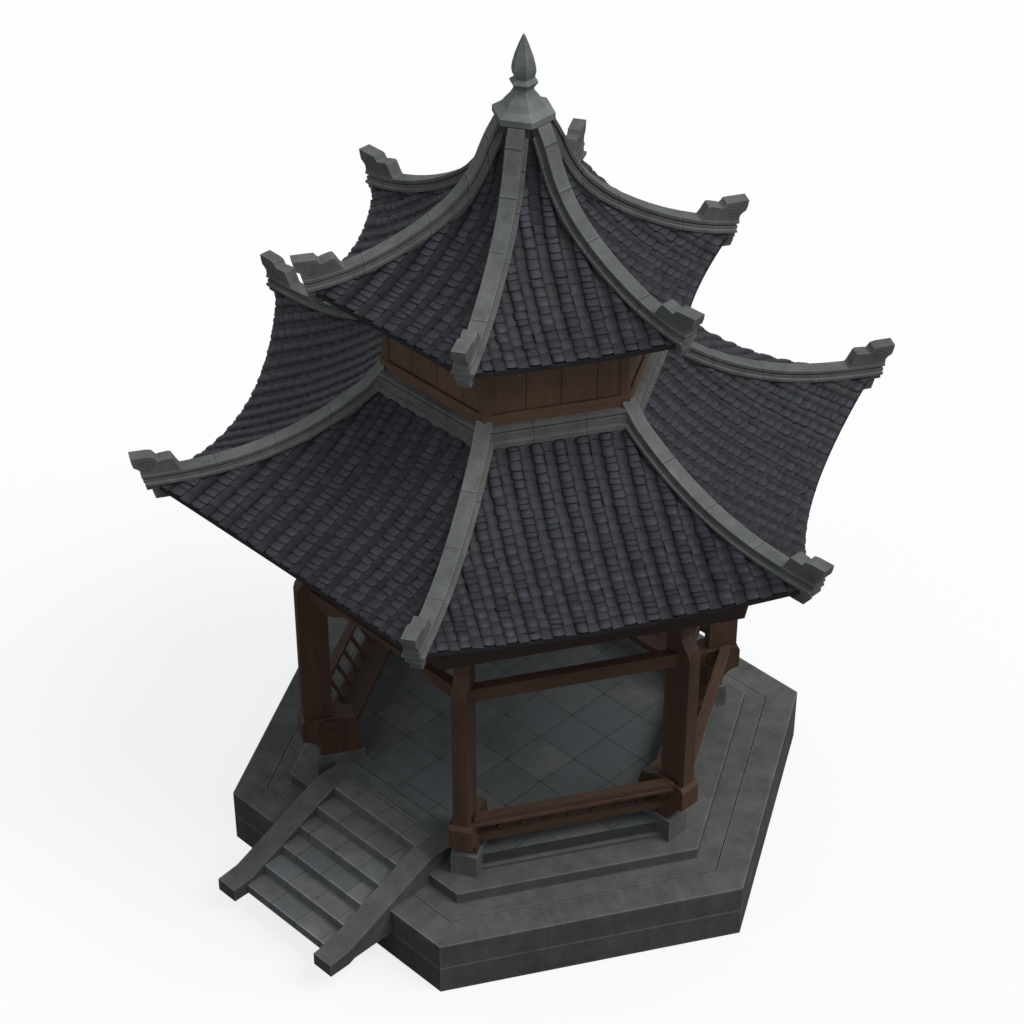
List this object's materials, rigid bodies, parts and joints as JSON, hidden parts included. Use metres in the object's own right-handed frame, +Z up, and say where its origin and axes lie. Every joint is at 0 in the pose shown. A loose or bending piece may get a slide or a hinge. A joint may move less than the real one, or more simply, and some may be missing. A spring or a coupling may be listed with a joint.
{
  "type": "double-eave hexagonal garden pavilion",
  "caption": "Open six-sided garden pavilion with two tiers of sweeping tiled eaves over timber columns, on a stepped stone plinth with an entrance stair and benches.",
  "frame": {"origin": "middle of the plinth, at its underside", "axes": "+Z up the axis of the pavilion, -Y out over the entrance stair, +X towards the right side as seen when looking along +Y into the entrance"},
  "size_m": [9.832, 8.8153, 11.4785],
  "materials": {
    "stone": "weathered dressed stone, grey-green, with worn edges and thin dark joints",
    "ridge_stone": "pale grey carved ridge stone, matt, in jointed lengths",
    "tile": "matt grey fired-clay tiles, uneven in tone",
    "timber": "old dark brown oiled timber, worn paler on its edges"
  },
  "bodies": {
    "root": {"plinth_footing": "stone", "plinth_kerb": "stone", "plinth_deck": "stone", "middle_step": "stone", "base_course": "stone", "floor_slab": "stone", "stair_cheeks": "stone", "step_1": "stone", "step_2": "stone", "step_3": "stone", "step_4": "stone", "step_5": "stone", "step_6": "stone", "pedestals": "stone", "column_feet": "timber", "columns": "timber", "bench_seats": "timber", "bench_rails": "timber", "bench_balusters": "timber", "tie_beams": "timber", "entrance_beam": "timber", "head_plates": "timber", "head_beams": "timber", "eave_beam": "timber", "eave_posts": "timber", "eave_frieze": "timber", "king_post": "timber", "hip_rafters": "timber", "lower_rafters": "timber", "lower_slopes": "tile", "lower_ridges": "ridge_stone", "lower_ridge_ends": "ridge_stone", "corner_blocks": "ridge_stone", "collar": "ridge_stone", "drum_posts": "timber", "drum_walls": "timber", "drum_sill": "timber", "upper_plate": "timber", "upper_hip_rafters": "timber", "upper_rafters": "timber", "upper_slopes": "tile", "upper_ridges": "ridge_stone", "upper_ridge_ends": "ridge_stone", "crown": "ridge_stone", "finial": "ridge_stone"}
  },
  "joints": []
}
